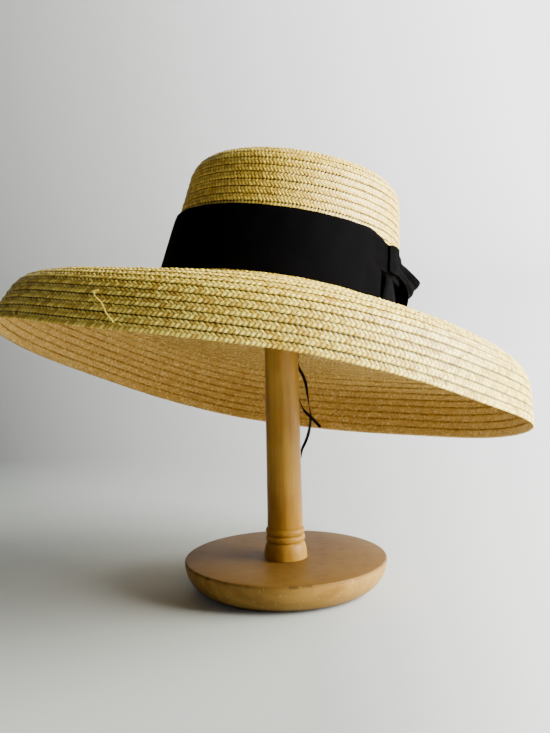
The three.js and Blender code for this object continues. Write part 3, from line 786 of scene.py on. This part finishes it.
def cloth_grid(name, columns, rows, points_at, shade_at, size, thickness, closed):
    """A grid of cloth. From arrays of shares along and across, points_at gives its points and shade_at
    how deep they lie in a fold, from 0 to 1, which is painted as shade. Faces mostly in that painted
    shade take the second material, a shaded copy without gloss."""
    bm = bmesh.new()
    place = Matrix.Translation((columns / 2, rows / 2, 0)) @ Matrix.Diagonal((columns / 2, rows / 2, 1, 1))
    bmesh.ops.create_grid(bm, x_segments=columns, y_segments=rows, size=1, matrix=place)
    mesh = bpy.data.meshes.new(name)
    bm.to_mesh(mesh)
    flat = np.empty(len(mesh.vertices) * 3)
    mesh.vertices.foreach_get("co", flat)
    flat = flat.reshape(-1, 3)
    shares_along, shares_across = flat[:, 0] / columns, flat[:, 1] / rows
    layer = mesh.uv_layers.new(name="weave")
    corner_vertex = np.empty(len(mesh.loops), int)
    mesh.loops.foreach_get("vertex_index", corner_vertex)
    uv = np.stack([shares_along[corner_vertex] * size[0], shares_across[corner_vertex] * size[1]], axis=1)
    layer.uv.foreach_set("vector", uv.astype(np.float32).ravel())
    points = points_at(shares_along, shares_across)
    mesh.vertices.foreach_set("co", points.astype(np.float32).ravel())
    depth = shade_at(shares_along, shares_across)
    shade = mesh.attributes.new(name="shade", type="FLOAT", domain="POINT")
    shade.data.foreach_set("value", depth.astype(np.float32))
    # Faces mostly in painted shade take the second material, a shaded copy without gloss.
    in_fold = depth[corner_vertex].reshape(-1, 4).mean(axis=1) > 0.5
    mesh.polygons.foreach_set("material_index", in_fold.astype(np.int32))
    bm.clear()
    bm.from_mesh(mesh)
    if closed:
        bmesh.ops.remove_doubles(bm, verts=bm.verts, dist=2e-6)
    bmesh.ops.solidify(bm, geom=list(bm.faces), thickness=thickness)
    bm.to_mesh(mesh)
    bm.free()
    return mesh


def eased(value, start, end):
    """0 up to the start, 1 from the end on, and a soft slope between."""
    share = np.clip((value - start) / (end - start), 0, 1)
    return share * share * (3 - 2 * share)


def band_points(along, up):
    """The band's outer face, from its foot on the brim to its top. Its top dips at the bow, and under
    the bow's flap its lower part stands out on both sides of an upright fold."""
    degrees = 180 - 360 * along
    turn = np.radians(degrees)
    ripple = 0.00025 * np.sin(9 * turn + 2.0 * up) * np.sin(math.pi * up)
    ripple += 0.00018 * np.sin(23 * turn - 5.0 * up) * up
    belly = band_belly * np.sin(math.pi * up)
    lip = 0.0003 * np.clip((up - 0.94) / 0.06, 0, 1)
    far_side = fold_far_side + 2.0 * up / fold_top
    near_lift = eased(degrees, fold_start, fold_lip) * (1 - eased(degrees, fold_lip, fold_lip + 0.5))
    far_lift = 0.7 * eased(degrees, far_side, far_side + 0.6) * (1 - eased(degrees, far_side + 1, -20.0))
    fold = fold_lift * (near_lift + far_lift) * eased(up, fold_top + 0.05, fold_top - 0.03)
    top = between(band_top, np.clip(degrees, band_top[0][0], band_top[-1][0]))
    height = band_foot + up * (band_height * top - band_foot)
    return in_place(crown_point(turn, height, seat_gap + band_thickness + belly + ripple - lip + fold))


def band_shade(along, up):
    """The band lies in shade in its upright fold and in the hollow under the bow's loop."""
    degrees = 180 - 360 * along
    low = eased(up, fold_top + 0.05, fold_top - 0.03)
    far_side = fold_far_side + 2.0 * up / fold_top
    in_fold = eased(degrees, fold_lip - 0.2, fold_lip + 0.3) * (1 - eased(degrees, far_side - 0.3, far_side + 0.5))
    hollow_side = hollow_start + 8 * (1 - np.minimum(up / fold_top, 1))
    in_hollow = eased(degrees, hollow_side - 0.5, hollow_side + 1) * (1 - eased(degrees, 6, 14))
    return np.clip(in_fold + in_hollow, 0, 1) * low


# Lit and shaded copies of the cloth: the shaded one, without gloss, paints shade in the folds and hollows.
black_cotton = ribbon_material("black_cotton", 0.012)
shaded_cotton = ribbon_material("shaded_cotton", 0.0)
band_length = 2 * math.pi * math.sqrt((crown_half_width**2 + crown_half_length**2) / 2)
band = link_piece(
    "band_ribbon",
    cloth_grid("band_ribbon", 720, 18, band_points, band_shade, (band_length, band_height), 0.9 * band_thickness, True),
    black_cotton, 50,
)
band.data.materials.append(shaded_cotton)
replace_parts(band, "hat_band")

# Bow
# The band's ends are folded into a flat bow on the wearer's left: a flap lying back on the band, a
# tight knot, a loop that stands open towards the back and a short tail under it.
ply_thickness = 0.0012
knot_thickness = 0.0026
bow_stand_off = 0.0145
bow_folds = {  # turn; rise and stand-off of the upper edge; rise and stand-off of the lower edge
    "bow_loop": (
        (-26, 0.86, 0.0, 0.47, 0.0), (-22.5, 0.82, 0.0, 0.44, 0.05), (-20, 0.70, 0.02, 0.42, 0.10),
        (-16, 0.655, 0.21, 0.40, 0.14), (-11, 0.58, 0.57, 0.34, 0.20), (-6, 0.545, 0.80, 0.30, 0.22),
        (2, 0.54, 0.72, 0.30, 0.22), (8, 0.60, 0.44, 0.30, 0.16), (14, 0.66, 0.04, 0.34, 0.04),
    ),
    # The loop's back ply is painted fully in shade, a dark sheet for the hollow inside the loop.
    "bow_loop_shaded_back": (
        (-18, 0.56, 0.0, 0.20, 0.0), (-13, 0.56, 0.10, 0.15, 0.08), (-8, 0.52, 0.22, 0.13, 0.13),
        (0, 0.48, 0.34, 0.15, 0.15), (8, 0.5, 0.26, 0.22, 0.12), (13, 0.6, 0.03, 0.32, 0.03),
    ),
    # The tail also fills the hollow under the loop and is painted nearly all in shade.
    "bow_tail": ((-19, 0.33, 0.0, 0.11, 0.0), (-13, 0.26, 0.04, 0.09, 0.06), (-7, 0.2, 0.09, 0.08, 0.11)),
    "bow_flap": (
        (-52, 0.90, -0.135, 0.46, -0.135), (-44, 0.90, -0.115, 0.43, -0.12), (-38, 0.86, 0.0, 0.40, -0.03),
        (-34.5, 0.83, 0.05, 0.385, 0.06),
    ),
    "bow_knot": ((-35, 0.82, -0.02, 0.42, -0.02), (-31, 0.84, 0.02, 0.4, 0.02), (-27, 0.83, 0.0, 0.42, 0.0)),
}


def fold_line(folds, rise_column, out_column, clear, steps):
    """One edge of a ply, through its folds."""
    rows = np.array(folds, float)
    points = crown_point(
        np.radians(rows[:, 0]), rows[:, rise_column] * band_height, clear + rows[:, out_column] * bow_stand_off
    )
    return smooth_line(points, steps)


def ply(name, node, thickness, steps, rows, crease, shade):
    """A ply of the bow between its upper and lower edges, with soft creases running out of the knot."""
    folds = bow_folds[name]
    clear = seat_gap + band_thickness + band_belly + seat_gap + thickness / 2
    upper = fold_line(folds, 1, 2, clear, steps)
    lower = fold_line(folds, 3, 4, clear, steps)
    columns = len(upper) - 1

    def points_at(along, down):
        i = np.rint(along * columns).astype(int)
        points = upper[i] * (1 - down[:, None]) + lower[i] * down[:, None]
        ahead = np.gradient(upper, axis=0)[i] * (1 - down[:, None]) + np.gradient(lower, axis=0)[i] * down[:, None]
        normal = np.cross(lower[i] - upper[i], ahead)
        normal /= np.linalg.norm(normal, axis=1)[:, None]
        lift = crease * np.sin(3.2 * math.pi * down + 1.5 * along) * np.sin(math.pi * along) ** 0.5
        return in_place(points + normal * (lift * np.sin(math.pi * down) + thickness / 2)[:, None])

    width = float(np.linalg.norm(upper - lower, axis=1).mean())
    length = float(np.linalg.norm(np.diff((upper + lower) / 2, axis=0), axis=1).sum())

    # The whole ply takes one painted shade, darkening it towards black.
    def shade_at(along, down):
        return np.full(len(along), shade)

    mesh = cloth_grid(name + "_ply", columns, rows, points_at, shade_at, (length, width), thickness, False)
    piece = link_piece(name + "_ply", mesh, black_cotton, 50)
    mesh.materials.append(shaded_cotton)
    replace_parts(piece, node)
    return piece


# ply name, node, thickness, steps between folds, rows, crease height, painted shade over the whole ply
ply("bow_flap", "bow_flap", ply_thickness, 12, 12, 0.0002, 0.0)
ply("bow_knot", "bow_knot", knot_thickness, 10, 12, 0.0003, 0.4)
ply("bow_loop", "bow_loop", ply_thickness, 8, 16, 0.0007, 0.2)
ply("bow_loop_shaded_back", "bow_loop", ply_thickness, 8, 12, 0.0003, 1.0)
ply("bow_tail", "bow_tail", ply_thickness, 10, 10, 0.0003, 0.9)

# Table and backdrop
# One pale sheet that lies flat under the stand and sweeps up behind it, so no edge shows.
sweep_half_width = 3.4
sweep_front = -3.0
sweep_back = 2.7
sweep_radius = 0.9
sweep_height = 3.2
# The sheet's colour is painted light and shade: dark on the left to light on the right, along lines that fan out from
# the front, a little lighter further back, and lifted near the stand where the hat's shadow falls.
sweep_shade = (0.03, 0.0345, 0.031)
sweep_painted_light_near = (0.33, 0.355, 0.325)
sweep_middle = (0.40, 0.415, 0.405)
sweep_light = (0.92, 0.935, 0.96)
sweep_bm = bmesh.new()
sweep_line = [(sweep_front, 0.0), (sweep_back - sweep_radius, 0.0)]
sweep_line += [
    (sweep_back - sweep_radius + sweep_radius * math.sin(a), sweep_radius * (1 - math.cos(a)))
    for a in np.radians(np.arange(5, 91, 5))
]
sweep_line += [(sweep_back, sweep_height)]
sweep_verts = [sweep_bm.verts.new((-sweep_half_width, y, z)) for y, z in sweep_line]
sweep_edges = [sweep_bm.edges.new(pair) for pair in zip(sweep_verts, sweep_verts[1:])]
swept = bmesh.ops.extrude_edge_only(sweep_bm, edges=sweep_edges)["geom"]
bmesh.ops.translate(
    sweep_bm, verts=[g for g in swept if isinstance(g, bmesh.types.BMVert)], vec=(2 * sweep_half_width, 0, 0)
)
bmesh.ops.recalc_face_normals(sweep_bm, faces=sweep_bm.faces)
sweep_mesh = bpy.data.meshes.new("sweep")
sweep_bm.to_mesh(sweep_mesh)
sweep_bm.free()
sweep_mesh.shade_smooth()
sweep_material, sweep_shader, sweep_add, sweep_join = new_material("pale_sweep")
sweep_parts = sweep_add("ShaderNodeSeparateXYZ", {0: sweep_add("ShaderNodeTexCoord").outputs["Object"]})
sweep_depth = sweep_add("ShaderNodeMath", {0: sweep_parts.outputs["Y"], 1: 0.8, 2: 1.0}, operation="MULTIPLY_ADD")
sweep_far = sweep_add("ShaderNodeMath", {0: sweep_depth.outputs[0], 1: 0.7}, operation="MAXIMUM")
sweep_across = sweep_add("ShaderNodeMath", {0: sweep_parts.outputs["X"], 1: sweep_far.outputs[0]},
                         operation="DIVIDE")
sweep_rise = sweep_add("ShaderNodeMath", {0: sweep_parts.outputs["Y"], 1: 0.07, 2: sweep_across.outputs[0]},
                       operation="MULTIPLY_ADD")
sweep_share = sweep_add("ShaderNodeMapRange", {0: sweep_rise.outputs[0], 1: -0.217, 2: 0.343})
sweep_colour = sweep_add("ShaderNodeValToRGB", {"Fac": sweep_share.outputs[0]})
ramp_colours(sweep_colour, ((0.0, sweep_shade), (0.5, sweep_middle), (1.0, sweep_light)))
# Near the stand the colour is lifted to at least sweep_painted_light_near, painted light in the hat's shadow.
sweep_near = sweep_add("ShaderNodeMapRange", {0: sweep_parts.outputs["Y"], 1: 0.45, 2: 0.05})
sweep_lifted = sweep_add("ShaderNodeMix", {0: sweep_near.outputs[0], 6: sweep_colour.outputs["Color"],
                                           7: (*sweep_painted_light_near, 1)}, data_type="RGBA", blend_type="LIGHTEN")
sweep_join(sweep_lifted.outputs[2], "Base Color")
sweep_shader.inputs["Roughness"].default_value = 0.85
sweep_mesh.materials.append(sweep_material)
sweep = bpy.data.objects.new("sweep", sweep_mesh)
bpy.context.collection.objects.link(sweep)

# Light
# A large soft window light stands to the right and a little above, and a pale room fills the rest.
lights = (  # name, place, size in metres, watts, colour
    ("window_light", (2.2, -0.35, 1.10), 1.9, 480.0, (1.0, 0.99, 0.955)),
    ("wall_light", (2.6, 1.3, 1.6), 1.2, 90.0, (1.0, 0.99, 0.97)),
    ("room_fill", (-1.6, -2.0, 1.3), 1.6, 5.0, (0.92, 0.84, 1.0)),
)
aims = {"window_light": (0.0, 0.0, 0.2), "wall_light": (0.3, 2.7, 0.3), "room_fill": (0.0, 0.0, 0.2)}
for name, place, size, watts, colour in lights:
    light_data = bpy.data.lights.new(name, "AREA")
    light_data.shape = "SQUARE"
    light_data.size = size
    light_data.energy = watts
    light_data.color = colour
    light = bpy.data.objects.new(name, light_data)
    aim = Vector(aims[name]) - Vector(place)
    light.visible_camera = False
    light.matrix_world = Matrix.Translation(place) @ aim.to_track_quat("-Z", "Y").to_matrix().to_4x4()
    bpy.context.collection.objects.link(light)
world = bpy.data.worlds.new("room")
world.use_nodes = True
world_light = world.node_tree.nodes["Background"]
world_light.inputs["Color"].default_value = (0.84, 0.80, 0.86, 1.0)
world_light.inputs["Strength"].default_value = 0.12
bpy.context.scene.world = world
